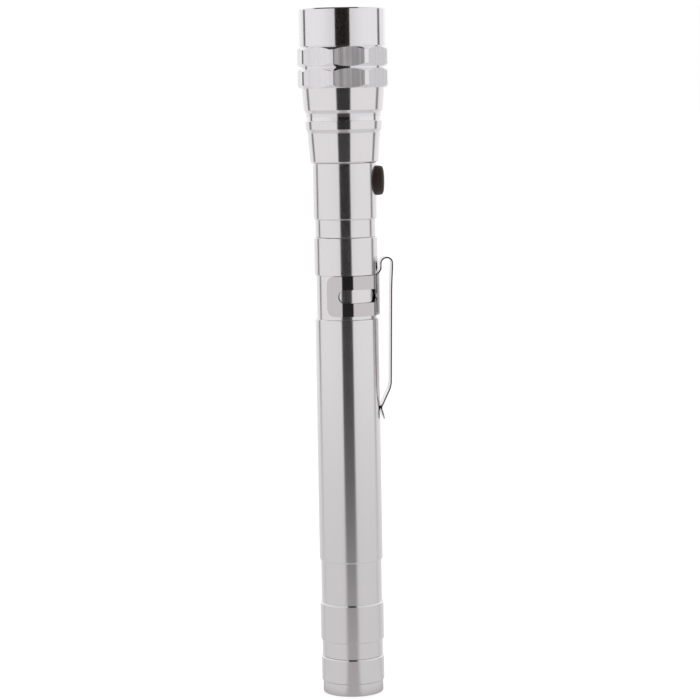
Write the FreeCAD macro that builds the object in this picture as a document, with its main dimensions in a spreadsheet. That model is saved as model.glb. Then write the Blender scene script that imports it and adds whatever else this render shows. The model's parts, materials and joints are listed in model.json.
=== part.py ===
import FreeCAD, Part
import os
import Sketcher

# Telescopic magnetic pickup tool with an LED head, standing on its tail.
# Millimetres, +Z up along the tool's axis, origin at the centre of the tail face.
# +X points at the push button; the pocket clip sits a few degrees round from it.

SIZES = {
    # outside of the head, from the front rim down
    "tool_length": 170.0,
    "bezel_radius": 10.63,
    "bezel_low": 160.6,
    "bezel_rim": 9.0,
    "bezel_lip": 2.0,
    "rim_chamfer": 0.3,
    "nut_radius": 11.29,
    "nut_flat": 10.62,
    "nut_turn": 8.8,
    "nut_chamfer": 0.7,
    "nut_groove": 10.3,
    "nut_upper_low": 156.05,
    "nut_lower_top": 155.5,
    "nut_lower_low": 150.9,
    "cone_top_radius": 10.13,
    "cone_step_radius": 9.7,
    "cone_step": 145.3,
    "cone_cut_radius": 9.59,
    "cone_cut": 145.1,
    "ridge_root_radius": 9.11,
    "ridge_top": 142.65,
    "ridge_top_radius": 9.44,
    "ridge_low": 140.7,
    "ridge_low_radius": 9.36,
    "skirt_top": 140.0,
    "skirt_top_radius": 8.97,
    "skirt_low": 132.5,
    "skirt_low_radius": 8.39,
    # inside of the head
    "register_top": 163.6,
    "register_radius": 9.95,
    "lamp_bore": 9.5,
    "board_low": 158.4,
    "board_top": 160.0,
    "board_radius": 9.3,
    "cell_bore": 6.35,
    "thread_bore": 7.55,
    "thread_bore_top": 139.0,
    # LEDs, face plate and pickup magnet
    "led_ring": 6.6,
    "led_radius": 2.5,
    "led_flange": 2.9,
    "led_flange_top": 161.0,
    "led_top": 168.0,
    "led_dome": 2.35,
    "plate_low": 166.6,
    "plate_radius": 9.45,
    "plate_led_hole": 2.35,
    "plate_magnet_hole": 4.05,
    "magnet_radius": 4.0,
    "magnet_low": 164.0,
    "magnet_edge": 0.3,
    "holder_radius": 3.6,
    "contact_radius": 2.0,
    # batteries
    "cell_low": 136.0,
    "cell_height": 5.4,
    "cell_radius": 5.8,
    "cell_cap_radius": 4.9,
    "cell_cap": 0.35,
    "cell_edge": 0.2,
    "sleeve_inside": 5.9,
    "sleeve_outside": 6.2,
    "sleeve_top": 157.4,
    "sleeve_low": 132.35,
    "spring_wire": 0.25,
    "spring_radius": 4.6,
    "spring_pitch": 1.1,
    # barrel with the push button
    "barrel_radius": 7.8,
    "barrel_low": 118.6,
    "barrel_top": 132.4,
    "barrel_bore": 6.25,
    "spigot_radius": 7.25,
    "seal_low": 132.75,
    "seal_top": 133.55,
    "seal_root": 6.7,
    "seal_radius": 7.1,
    "seal_section": 0.4,
    "thread_radius": 7.5,
    "thread_top": 138.6,
    "thread_chamfer": 0.4,
    "turned_edge": 0.25,
    "button_height": 127.9,
    "button_hole": 3.73,
    "button_radius": 3.65,
    "button_face": 9.8,
    "button_round": 0.6,
    "button_flange": 4.1,
    "button_flange_low": 3.3,
    "button_flange_top": 4.3,
    "button_pocket": 4.25,
    "button_floor": 1.6,
    "plunger_radius": 1.5,
    "plunger_bore": 1.56,
    "plunger_end": -0.6,
    "plunger_bore_end": -2.0,
    "button_spring_wire": 0.2,
    "button_spring_radius": 2.4,
    "button_spring_pitch": 0.6,
    "switch_radius": 6.2,
    "switch_low": 120.3,
    "switch_top": 132.0,
    "contact_top": 132.3,
    "contact_plate": 5.4,
    # neck plug, swivel ferrule and gooseneck
    "plug_radius": 7.42,
    "plug_low": 114.2,
    "plug_top": 120.2,
    "plug_bore": 3.06,
    "plug_cavity": 4.1,
    "plug_ledge": 118.5,
    "ferrule_radius": 3.0,
    "ferrule_head": 4.0,
    "ferrule_head_low": 118.55,
    "ferrule_top": 119.5,
    "ferrule_stem_low": 107.6,
    "neck_radius": 3.0,
    "neck_bore": 1.85,
    "neck_top": 113.6,
    "neck_groove": 0.35,
    "neck_pitch": 2.0,
    "foot_radius": 3.25,
    "foot_height": 6.0,
    "foot_stem": 6.0,
    # telescopic rods, outermost first
    "rod_1_radius": 5.4,
    "rod_2_radius": 4.8,
    "rod_3_radius": 4.2,
    "rod_4_radius": 3.6,
    "rod_wall": 0.3,
    "rod_fit": 0.05,
    "rod_low": 26.6,
    "rod_rise": 0.8,
    "rod_top": 112.2,
    "rod_top_rise": 0.45,
    "rod_lip": 2.5,
    "rod_foot": 0.7,
    "rod_foot_width": 0.7,
    "rod_edge": 0.25,
    "bush_height": 4.0,
    "bush_slit": 0.6,
    "bush_1_radius": 6.35,
    # handle
    "collar_radius": 7.82,
    "collar_top": 114.1,
    "collar_low": 104.85,
    "collar_edge": 0.3,
    "guide_low": 109.1,
    "guide_bore": 5.45,
    "neck_recess_radius": 7.39,
    "tube_radius": 7.85,
    "tube_top": 94.0,
    "tube_bore": 6.4,
    "tube_socket": 6.9,
    "tube_socket_low": 88.0,
    "tube_step": 33.6,
    "tube_end_radius": 7.52,
    "tube_low": 23.0,
    # tail
    "sleeve_radius": 7.88,
    "sleeve_step": 13.4,
    "sleeve_neck_radius": 7.54,
    "tail_plug_top": 26.4,
    "cap_radius": 7.81,
    "cap_top": 9.3,
    "cap_spigot": 5.6,
    "cap_spigot_top": 14.0,
    "cap_step": 3.13,
    "foot_face_radius": 7.51,
    "foot_chamfer": 0.35,
    "tail_magnet_radius": 4.0,
    "tail_magnet_top": 4.0,
    # pocket clip, pressed from one strip of spring steel
    "clip_turn": 5.5,
    "clip_sheet": 0.45,
    "clip_offset": 0.25,
    "band_inside": 7.62,
    "band_low": 94.9,
    "band_top": 104.8,
    "band_wrap": 269.0,
    "band_corner": 2.0,
    "window_low": 98.15,
    "window_top": 101.45,
    "window_middle": 72.5,
    "window_span": 79.0,
    "window_round": 1.6,
    "clip_width": 5.0,
    "tab_base": 7.87,
    "tab_root": 103.8,
    "tab_fold": 106.6,
    "bend_centre": 10.0,
    "bend_height": 107.5,
    "bend_inside": 1.15,
    "arm_knee": 10.1,
    "arm_knee_height": 78.2,
    "arm_touch": 7.9,
    "arm_touch_height": 72.2,
    "arm_tip": 8.8,
    "arm_tip_height": 68.6,
    "arm_round": 1.5,
}

FULL_TURN = 360
ROD_COUNT = 4
CELL_COUNT = 4
LED_COUNT = 3
NUT_SIDES = 8

doc = FreeCAD.newDocument("MagneticPickupTool")
sheet = doc.addObject("Spreadsheet::Sheet", "Sizes")


def fill_sheet():
    """Write every driving dimension into the sheet: its name, its number and its alias."""
    for row, (name, number) in enumerate(SIZES.items(), start=1):
        sheet.set(f"A{row}", name)
        sheet.set(f"B{row}", str(number))
        sheet.setAlias(f"B{row}", name)
    doc.recompute()


def value(formula):
    """The number of a sum such as 'rod_top - rod_lip', read from the driving dimensions."""
    total, sign = 0.0, 1
    for word in formula.split():
        if word in ("+", "-"):
            sign = 1 if word == "+" else -1
        else:
            total += sign * (SIZES[word] if word in SIZES else float(word))
    return total


def bound(formula):
    """The same sum as an expression that reads the sheet."""
    return " ".join("Sizes." + word if word in SIZES else word for word in formula.split())


def new_body(label):
    """An empty body whose name and label are the piece's name."""
    body = doc.addObject("PartDesign::Body", label)
    body.Label = label
    return body


def origin_feature(body, role):
    """One of the body's own origin planes or axes."""
    return next(f for f in body.Origin.OriginFeatures if f.Role == role)


def new_sketch(body, name, plane, turn=0.0, lift=None):
    """An empty sketch on an origin plane, turned about its own upright axis or lifted off it."""
    sketch = body.newObject("Sketcher::SketchObject", name)
    sketch.AttachmentSupport = [(origin_feature(body, plane), "")]
    sketch.MapMode = "FlatFace"
    rotation = FreeCAD.Rotation(FreeCAD.Vector(0, 1, 0), turn)
    sketch.AttachmentOffset = FreeCAD.Placement(FreeCAD.Vector(0, 0, 0), rotation)
    if lift:
        sketch.setExpression("AttachmentOffset.Base.z", bound(lift))
    return sketch


def bind_point(sketch, line, along, formula):
    """Hold one coordinate of a line's start point to a sheet formula, or to the axis if it is 0."""
    start = 1
    if formula == "0":
        axis = -2 if along == "X" else -1
        sketch.addConstraint(Sketcher.Constraint("PointOnObject", line, start, axis))
        return
    constraint = Sketcher.Constraint("Distance" + along, line, start, value(formula))
    index = sketch.addConstraint(constraint)
    sketch.setExpression(f"Constraints[{index}]", bound(formula))


def outline_sketch(body, name, outline, plane="XZ_Plane", turn=0.0, lift=None):
    """A closed outline of straight lines through corners given as pairs of sheet formulas."""
    sketch = new_sketch(body, name, plane, turn, lift)
    corners = [FreeCAD.Vector(value(across), value(up), 0) for across, up in outline]
    count = len(corners)
    for i in range(count):
        sketch.addGeometry(Part.LineSegment(corners[i], corners[(i + 1) % count]), False)
    for i in range(count):
        sketch.addConstraint(Sketcher.Constraint("Coincident", i, 2, (i + 1) % count, 1))
    for i, (across, up) in enumerate(outline):
        bind_point(sketch, i, "X", across)
        bind_point(sketch, i, "Y", up)
    return sketch


def circle_sketch(body, name, plane, across, up, radius, lift=None):
    """A circle with its centre and radius bound to the sheet."""
    sketch = new_sketch(body, name, plane, lift=lift)
    centre = FreeCAD.Vector(value(across), value(up), 0)
    middle = 3
    sketch.addGeometry(Part.Circle(centre, FreeCAD.Vector(0, 0, 1), value(radius)), False)
    for along, formula, axis in (("X", across, -2), ("Y", up, -1)):
        if formula == "0":
            sketch.addConstraint(Sketcher.Constraint("PointOnObject", 0, middle, axis))
        else:
            distance = Sketcher.Constraint("Distance" + along, 0, middle, value(formula))
            index = sketch.addConstraint(distance)
            sketch.setExpression(f"Constraints[{index}]", bound(formula))
    index = sketch.addConstraint(Sketcher.Constraint("Radius", 0, value(radius)))
    sketch.setExpression(f"Constraints[{index}]", bound(radius))
    return sketch


def turned(label, outline, angle=None):
    """A body turned about Z from a closed outline of (radius, height) formulas."""
    body = new_body(label)
    sketch = outline_sketch(body, label + "_outline", outline)
    turning = body.newObject("PartDesign::Revolution", label + "_turning")
    turning.Profile = sketch
    turning.ReferenceAxis = (sketch, ["V_Axis"])
    turning.Angle = FULL_TURN
    if angle:
        turning.setExpression("Angle", bound(angle))
        turning.Midplane = True
    return body


def tube_outline(inside, outside, low, top):
    """The rectangular section of a plain ring or tube."""
    return [(inside, low), (outside, low), (outside, top), (inside, top)]


def feature_volume(body):
    """The body's volume once everything so far has been worked out."""
    doc.recompute()
    return body.Shape.Volume


def cut(body, sketch, name, depth=None):
    """A pocket towards the sketch's own normal, through everything or to a depth; it has to cut."""
    before = feature_volume(body)
    pocket = body.newObject("PartDesign::Pocket", name)
    pocket.Profile = sketch
    pocket.Reversed = True
    if depth:
        pocket.Type = "Length"
        pocket.setExpression("Length", bound(depth))
    else:
        pocket.Type = "ThroughAll"
    if feature_volume(body) >= before:
        raise RuntimeError(name + " cuts nothing")
    return pocket


def around_axis(body, feature, name, count):
    """Repeat a feature evenly round Z."""
    pattern = body.newObject("PartDesign::PolarPattern", name)
    pattern.Originals = [feature]
    pattern.Axis = (origin_feature(body, "Z_Axis"), [""])
    pattern.Angle = FULL_TURN
    pattern.Occurrences = count
    body.Tip = pattern
    return pattern


def round_edges(body, name, chosen, radius):
    """Fillet the chosen edges of the body's tip."""
    doc.recompute()
    tip = body.Tip
    names = [f"Edge{i}" for i, edge in enumerate(tip.Shape.Edges, start=1) if chosen(edge)]
    fillet = body.newObject("PartDesign::Fillet", name)
    fillet.Base = (tip, names)
    fillet.setExpression("Radius", bound(radius))
    return fillet


def rings_at(formula):
    """Chooses the round edges that lie level at a height."""
    def chosen(edge):
        box = edge.BoundBox
        height = value(formula)
        return abs(box.ZMin - height) < 1e-3 and abs(box.ZMax - height) < 1e-3
    return chosen


def place_along_x(body, height):
    """Lay a body that was turned about Z along +X, at a height."""
    body.Placement = FreeCAD.Placement(FreeCAD.Vector(0, 0, 0),
                                       FreeCAD.Rotation(FreeCAD.Vector(0, 1, 0), 90))
    body.setExpression("Placement.Base.z", bound(height))


def turn_about_z(body, angle):
    """Turn a body about the tool's axis by a sheet angle."""
    body.Placement = FreeCAD.Placement(FreeCAD.Vector(0, 0, 0),
                                       FreeCAD.Rotation(FreeCAD.Vector(0, 0, 1), value(angle)))
    body.setExpression("Placement.Rotation.Angle", bound(angle))


def build_tail():
    """Tail magnet, the cap that holds it and the sleeve that plugs the handle."""
    turned("tail_magnet", [
        ("0", "0"),
        ("tail_magnet_radius - magnet_edge", "0"),
        ("tail_magnet_radius", "magnet_edge"),
        ("tail_magnet_radius", "tail_magnet_top"),
        ("0", "tail_magnet_top"),
    ])
    turned("tail_cap", [
        ("tail_magnet_radius", "0"),
        ("foot_face_radius - foot_chamfer", "0"),
        ("foot_face_radius", "foot_chamfer"),
        ("foot_face_radius", "cap_step"),
        ("cap_radius - rod_edge", "cap_step"),
        ("cap_radius", "cap_step + rod_edge"),
        ("cap_radius", "cap_top - turned_edge"),
        ("cap_radius - turned_edge", "cap_top"),
        ("cap_spigot", "cap_top"),
        ("cap_spigot", "cap_spigot_top"),
        ("0", "cap_spigot_top"),
        ("0", "tail_magnet_top"),
        ("tail_magnet_radius", "tail_magnet_top"),
    ])
    turned("tail_sleeve", [
        ("cap_spigot", "cap_top"),
        ("sleeve_neck_radius - turned_edge", "cap_top"),
        ("sleeve_neck_radius", "cap_top + turned_edge"),
        ("sleeve_neck_radius", "sleeve_step"),
        ("sleeve_radius - turned_edge", "sleeve_step"),
        ("sleeve_radius", "sleeve_step + turned_edge"),
        ("sleeve_radius", "tube_low - turned_edge"),
        ("sleeve_radius - turned_edge", "tube_low"),
        ("tube_bore", "tube_low"),
        ("tube_bore", "tail_plug_top"),
        ("0", "tail_plug_top"),
        ("0", "cap_spigot_top"),
        ("cap_spigot", "cap_spigot_top"),
    ])


def build_handle():
    """The tube that is held, and the collar pressed into its top to guide the first rod."""
    turned("handle_tube", [
        ("tube_bore", "tube_low"),
        ("tube_end_radius - turned_edge", "tube_low"),
        ("tube_end_radius", "tube_low + turned_edge"),
        ("tube_end_radius", "tube_step"),
        ("tube_radius", "tube_step + turned_edge"),
        ("tube_radius", "tube_top - turned_edge"),
        ("tube_radius - turned_edge", "tube_top"),
        ("tube_socket", "tube_top"),
        ("tube_socket", "tube_socket_low"),
        ("tube_bore", "tube_socket_low"),
    ])
    turned("handle_collar", [
        ("tube_bore", "tube_socket_low"),
        ("tube_socket", "tube_socket_low"),
        ("tube_socket", "tube_top"),
        ("neck_recess_radius", "tube_top"),
        ("neck_recess_radius", "collar_low"),
        ("collar_radius - turned_edge", "collar_low"),
        ("collar_radius", "collar_low + turned_edge"),
        ("collar_radius", "collar_top - collar_edge"),
        ("collar_radius - collar_edge", "collar_top"),
        ("guide_bore + collar_edge", "collar_top"),
        ("guide_bore", "collar_top - collar_edge"),
        ("guide_bore", "guide_low"),
        ("tube_bore", "guide_low"),
    ])


def build_rod(number):
    """One telescopic rod: crimped in at the top to guide the next, rolled in at its foot."""
    outside = f"rod_{number}_radius"
    inner = f"rod_{number + 1}_radius" if number < ROD_COUNT else "neck_radius"
    low = "rod_low" + " + rod_rise" * (number - 1)
    top = "rod_top" + " + rod_top_rise" * (number - 1)
    turned(f"rod_{number}", [
        (f"{outside} - rod_foot_width", low),
        (outside, low),
        (outside, f"{top} - rod_edge"),
        (f"{outside} - rod_edge", top),
        (f"{inner} + rod_fit", top),
        (f"{inner} + rod_fit", f"{top} - rod_lip"),
        (f"{outside} - rod_wall", f"{top} - rod_lip - rod_edge"),
        (f"{outside} - rod_wall", f"{low} + rod_foot"),
        (f"{outside} - rod_foot_width", f"{low} + rod_foot"),
    ])
    build_bush(number, outside, low)


def build_bush(number, outside, low):
    """A split brass ring round a rod's foot, which rubs in the tube outside it."""
    if number == 1:
        reach = "bush_1_radius"
    else:
        reach = f"rod_{number - 1}_radius - rod_wall - rod_fit"
    bush = turned(f"rod_bush_{number}", tube_outline(outside, reach, low, low + " + bush_height"))
    slit = outline_sketch(bush, f"bush_{number}_slit", [
        ("0", low + " - bush_slit"),
        ("bush_slit", low + " - bush_slit"),
        ("bush_slit", low + " + bush_height + bush_slit"),
        ("0", low + " + bush_height + bush_slit"),
    ])
    cut(bush, slit, f"bush_{number}_cut")


def build_neck():
    """The gooseneck, the foot that slides in the last rod and the ferrule that the head turns on."""
    low = "rod_low" + " + rod_rise" * ROD_COUNT
    turned("neck_foot", [
        ("0", low),
        ("foot_radius", low),
        ("foot_radius", low + " + foot_height"),
        ("neck_bore", low + " + foot_height"),
        ("neck_bore", low + " + foot_height + foot_stem"),
        ("0", low + " + foot_height + foot_stem"),
    ])
    coil_low = low + " + foot_height"
    neck = turned("gooseneck", tube_outline("neck_bore", "neck_radius", coil_low, "neck_top"))
    add_neck_grooves(neck, coil_low)
    turned("neck_ferrule", [
        ("0", "ferrule_stem_low"),
        ("neck_bore", "ferrule_stem_low"),
        ("neck_bore", "neck_top"),
        ("ferrule_radius", "neck_top"),
        ("ferrule_radius", "ferrule_head_low"),
        ("ferrule_head", "ferrule_head_low"),
        ("ferrule_head", "ferrule_top"),
        ("0", "ferrule_top"),
    ])


def add_neck_grooves(neck, low):
    """V grooves between the coils of the gooseneck, one every pitch."""
    sketch = outline_sketch(neck, "coil_groove", [
        ("neck_radius - neck_groove", f"{low} + neck_pitch"),
        ("neck_radius + neck_groove", f"{low} + neck_pitch - neck_groove"),
        ("neck_radius + neck_groove", f"{low} + neck_pitch + neck_groove"),
    ])
    groove = neck.newObject("PartDesign::Groove", "coil_groove_cut")
    groove.Profile = sketch
    groove.ReferenceAxis = (sketch, ["V_Axis"])
    groove.Angle = FULL_TURN
    length = value("neck_top") - value(low)
    count = int(length / value("neck_pitch")) - 1
    pattern = neck.newObject("PartDesign::LinearPattern", "coil_grooves")
    pattern.Originals = [groove]
    pattern.Direction = (origin_feature(neck, "Z_Axis"), [""])
    pattern.Occurrences = count
    pattern.setExpression("Length", f"Sizes.neck_pitch * {count - 1}")
    neck.Tip = pattern


def build_barrel():
    """Neck plug and the barrel that it closes, with the button's hole and the head's thread."""
    turned("neck_plug", [
        ("plug_bore", "plug_low"),
        ("plug_radius - turned_edge", "plug_low"),
        ("plug_radius", "plug_low + turned_edge"),
        ("plug_radius", "barrel_low"),
        ("barrel_bore", "barrel_low"),
        ("barrel_bore", "plug_top"),
        ("plug_cavity", "plug_top"),
        ("plug_cavity", "plug_ledge"),
        ("plug_bore", "plug_ledge"),
    ])
    barrel = turned("barrel", [
        ("barrel_bore", "barrel_low"),
        ("barrel_radius - turned_edge", "barrel_low"),
        ("barrel_radius", "barrel_low + turned_edge"),
        ("barrel_radius", "barrel_top - turned_edge"),
        ("barrel_radius - turned_edge", "barrel_top"),
        ("spigot_radius", "barrel_top"),
        ("spigot_radius", "seal_low"),
        ("seal_root", "seal_low"),
        ("seal_root", "seal_top"),
        ("thread_radius", "seal_top"),
        ("thread_radius", "thread_top - thread_chamfer"),
        ("thread_radius - thread_chamfer", "thread_top"),
        ("barrel_bore", "thread_top"),
    ])
    hole = circle_sketch(barrel, "button_hole", "YZ_Plane", "0", "button_height", "button_hole")
    cut(barrel, hole, "button_hole_cut")
    seal = doc.addObject("Part::Torus", "head_o_ring")
    seal.Label = "head_o_ring"
    seal.setExpression("Radius1", bound("seal_radius"))
    seal.setExpression("Radius2", bound("seal_section"))
    seal.setExpression("Placement.Base.z", bound("seal_low + seal_section"))


def build_switch():
    """Switch housing with its brass contact, and the button, plunger and spring that work it."""
    housing = turned("switch_housing", [
        ("0", "switch_low"),
        ("switch_radius", "switch_low"),
        ("switch_radius", "switch_top"),
        ("0", "switch_top"),
    ])
    pocket = circle_sketch(housing, "button_pocket", "YZ_Plane", "0", "button_height",
                           "button_pocket", lift="button_floor")
    cut(housing, pocket, "button_pocket_cut")
    bore = circle_sketch(housing, "plunger_bore", "YZ_Plane", "0", "button_height",
                         "plunger_bore", lift="plunger_bore_end")
    cut(housing, bore, "plunger_bore_cut")
    turned("switch_contact", [
        ("0", "switch_top"),
        ("contact_plate", "switch_top"),
        ("contact_plate", "contact_top"),
        ("0", "contact_top"),
    ])
    cap = turned("button_cap", [
        ("0", "button_flange_low"),
        ("button_flange", "button_flange_low"),
        ("button_flange", "button_flange_top"),
        ("button_radius", "button_flange_top"),
        ("button_radius", "button_face"),
        ("0", "button_face"),
    ])
    round_edges(cap, "button_cap_round", rings_at("button_face"), "button_round")
    plunger = turned("switch_plunger", [
        ("0", "plunger_end"),
        ("plunger_radius", "plunger_end"),
        ("plunger_radius", "button_flange_low"),
        ("0", "button_flange_low"),
    ])
    place_along_x(cap, "button_height")
    place_along_x(plunger, "button_height")
    spring = coil("button_spring", "button_spring_radius", "button_spring_wire",
                  "button_floor + button_spring_wire", "button_spring_pitch",
                  "button_flange_low - button_floor - button_spring_wire - button_spring_wire")
    place_along_x(spring, "button_height")


def coil(label, radius, wire, low, pitch, height):
    """A coil spring wound about Z from a round wire."""
    body = new_body(label)
    sketch = circle_sketch(body, label + "_wire", "XZ_Plane", radius, low, wire)
    winding = body.newObject("PartDesign::AdditiveHelix", label + "_winding")
    winding.Profile = sketch
    winding.ReferenceAxis = (sketch, ["V_Axis"])
    winding.Mode = 0
    winding.setExpression("Pitch", bound(pitch))
    winding.setExpression("Height", bound(height))
    return body


def build_batteries():
    """Four button cells in their sleeve, and the spring that presses them forward."""
    turned("battery_sleeve",
           tube_outline("sleeve_inside", "sleeve_outside", "sleeve_low", "sleeve_top"))
    coil("battery_spring", "spring_radius", "spring_wire", "contact_top + spring_wire",
         "spring_pitch", "cell_low - contact_top - spring_wire - spring_wire")
    for number in range(1, CELL_COUNT + 1):
        low = "cell_low" + " + cell_height" * (number - 1)
        top = low + " + cell_height"
        turned(f"button_cell_{number}", [
            ("0", low),
            ("cell_cap_radius", low),
            ("cell_cap_radius", low + " + cell_cap"),
            ("cell_radius", low + " + cell_cap"),
            ("cell_radius", top + " - cell_edge"),
            ("cell_radius - cell_edge", top),
            ("0", top),
        ])


def build_head_shell():
    """The turned head: two octagonal grip rings over a stepped cone that screws on the barrel."""
    shell = turned("head_shell", [
        ("thread_bore", "skirt_low"),
        ("skirt_low_radius", "skirt_low"),
        ("skirt_top_radius", "skirt_top"),
        ("ridge_low_radius", "ridge_low"),
        ("ridge_top_radius", "ridge_top"),
        ("ridge_root_radius", "ridge_top + rim_chamfer"),
        ("cone_cut_radius", "cone_cut"),
        ("cone_step_radius", "cone_step"),
        ("cone_top_radius", "nut_lower_low"),
        ("nut_flat", "nut_lower_low"),
        ("nut_radius", "nut_lower_low + nut_chamfer"),
        ("nut_radius", "nut_lower_top - nut_chamfer"),
        ("nut_flat", "nut_lower_top"),
        ("nut_groove", "nut_lower_top"),
        ("nut_groove", "nut_upper_low"),
        ("nut_flat", "nut_upper_low"),
        ("nut_radius", "nut_upper_low + nut_chamfer"),
        ("nut_radius", "bezel_low - nut_chamfer"),
        ("nut_flat", "bezel_low"),
        ("register_radius", "bezel_low"),
        ("register_radius", "register_top"),
        ("lamp_bore", "register_top"),
        ("lamp_bore", "board_low"),
        ("cell_bore", "board_low"),
        ("cell_bore", "thread_bore_top"),
        ("thread_bore", "thread_bore_top"),
    ])
    side = "nut_radius"
    flat = outline_sketch(shell, "nut_flat_cutter", [
        ("nut_flat", "0 - " + side),
        ("nut_flat + nut_chamfer + nut_chamfer", "0 - " + side),
        ("nut_flat + nut_chamfer + nut_chamfer", side),
        ("nut_flat", side),
    ], plane="XY_Plane", lift="nut_lower_low")
    facet = cut(shell, flat, "nut_facet", depth="bezel_low - nut_lower_low")
    around_axis(shell, facet, "nut_facets", NUT_SIDES)
    turn_about_z(shell, "nut_turn")


def build_lamp():
    """Front bezel, face plate, LEDs on their board, and the pickup magnet on its holder."""
    turned("front_bezel", [
        ("register_radius", "bezel_low"),
        ("bezel_radius", "bezel_low"),
        ("bezel_radius", "tool_length - rim_chamfer"),
        ("bezel_radius - rim_chamfer", "tool_length"),
        ("bezel_rim + rim_chamfer", "tool_length"),
        ("bezel_rim", "tool_length - rim_chamfer"),
        ("bezel_rim", "tool_length - bezel_lip"),
        ("lamp_bore", "tool_length - bezel_lip"),
        ("lamp_bore", "register_top"),
        ("register_radius", "register_top"),
    ])
    plate = turned("led_plate", tube_outline("plate_magnet_hole", "plate_radius",
                                             "plate_low", "tool_length - bezel_lip"))
    hole = circle_sketch(plate, "led_hole", "XY_Plane", "led_ring", "0",
                         "plate_led_hole", lift="plate_low")
    around_axis(plate, cut(plate, hole, "led_hole_cut"), "led_holes", LED_COUNT)
    turned("led_board", [
        ("0", "board_low"),
        ("board_radius", "board_low"),
        ("board_radius", "board_top"),
        ("0", "board_top"),
    ])
    turned("board_contact", [
        ("0", "cell_low" + " + cell_height" * CELL_COUNT),
        ("contact_radius", "cell_low" + " + cell_height" * CELL_COUNT),
        ("contact_radius", "board_low"),
        ("0", "board_low"),
    ])
    turned("magnet_holder", [
        ("0", "board_top"),
        ("holder_radius", "board_top"),
        ("holder_radius", "magnet_low"),
        ("0", "magnet_low"),
    ])
    magnet = turned("pickup_magnet", [
        ("0", "magnet_low"),
        ("magnet_radius", "magnet_low"),
        ("magnet_radius", "tool_length"),
        ("0", "tool_length"),
    ])
    round_edges(magnet, "magnet_round", rings_at("tool_length"), "magnet_edge")
    for number in range(1, LED_COUNT + 1):
        build_led(number, (number - 1) * FULL_TURN / LED_COUNT)


def build_led(number, angle):
    """One 5 mm LED standing on the board under its hole in the face plate."""
    led = turned(f"led_{number}", [
        ("0", "board_top"),
        ("led_flange", "board_top"),
        ("led_flange", "led_flange_top"),
        ("led_radius", "led_flange_top"),
        ("led_radius", "led_top"),
        ("0", "led_top"),
    ])
    round_edges(led, f"led_{number}_dome", rings_at("led_top"), "led_dome")
    led.setExpression("Placement.Base.x", f"Sizes.led_ring * cos({angle})")
    led.setExpression("Placement.Base.y", f"Sizes.led_ring * sin({angle})")


def build_clip_band():
    """The open band that grips the collar's recess, with its two windows and the rising tab."""
    outside = "band_inside + clip_sheet"
    band = turned("clip_band", tube_outline("band_inside", outside, "band_low", "band_top"),
                  angle="band_wrap")
    for side, name in ((1, "window_far"), (-1, "window_near")):
        opening = outline_sketch(band, name, [
            ("band_inside - clip_sheet", "window_low"),
            (outside + " + clip_sheet", "window_low"),
            (outside + " + clip_sheet", "window_top"),
            ("band_inside - clip_sheet", "window_top"),
        ], turn=side * value("window_middle"))
        window = band.newObject("PartDesign::Groove", name + "_cut")
        window.Profile = opening
        window.ReferenceAxis = (opening, ["V_Axis"])
        window.setExpression("Angle", bound("window_span"))
        window.Midplane = True
    round_edges(band, "window_ends", across_sheet("window_low", "window_top"), "window_round")
    round_edges(band, "band_corners", across_sheet("band_low", "band_top"), "band_corner")
    add_tab(band)
    place_clip(band, "clip_offset")


def across_sheet(low, top):
    """Chooses the edges that cross the sheet's thickness at either of two heights."""
    def chosen(edge):
        box = edge.BoundBox
        level = box.ZLength < 1e-3 and abs(edge.Length - value("clip_sheet")) < 1e-3
        return level and min(abs(box.ZMin - value(low)), abs(box.ZMin - value(top))) < 1e-3
    return chosen


def add_tab(band):
    """The flat tab that rises from the band's top edge to the foot of the spring bend."""
    shift = " - clip_offset"
    fold = "bend_centre - bend_inside - clip_sheet" + shift
    tab = outline_sketch(band, "tab_profile", [
        ("tab_base" + shift, "tab_root"),
        ("tab_base + clip_sheet" + shift, "tab_root"),
        (fold + " + clip_sheet", "tab_fold"),
        (fold + " + clip_sheet", "bend_height"),
        (fold, "bend_height"),
        (fold, "tab_fold"),
    ])
    pad = band.newObject("PartDesign::Pad", "tab")
    pad.Profile = tab
    pad.setExpression("Length", bound("clip_width"))
    pad.Midplane = True


def place_clip(body, offset=None):
    """Turn a piece of the clip to its side of the tool, and move it out along that side."""
    turn_about_z(body, "clip_turn")
    if offset:
        body.setExpression("Placement.Base.x", f"Sizes.{offset} * cos(Sizes.clip_turn)")
        body.setExpression("Placement.Base.y", f"Sizes.{offset} * sin(Sizes.clip_turn)")


def build_clip_bend():
    """The half-round spring bend over the top of the clip."""
    bend = new_body("clip_bend")
    sketch = outline_sketch(bend, "bend_section", [
        ("bend_inside", "0"),
        ("bend_inside + clip_sheet", "0"),
        ("bend_inside + clip_sheet", "clip_width"),
        ("bend_inside", "clip_width"),
    ])
    turning = bend.newObject("PartDesign::Revolution", "bend_turning")
    turning.Profile = sketch
    turning.ReferenceAxis = (sketch, ["V_Axis"])
    turning.Angle = FULL_TURN / 2
    upright = FreeCAD.Rotation(FreeCAD.Vector(1, 0, 0), 90)
    round_tool = FreeCAD.Rotation(FreeCAD.Vector(0, 0, 1), value("clip_turn"))
    middle = FreeCAD.Vector(value("bend_centre"), value("clip_width") / 2, value("bend_height"))
    middle = round_tool.multVec(middle)
    bend.Placement = FreeCAD.Placement(middle, round_tool.multiply(upright))


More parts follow.
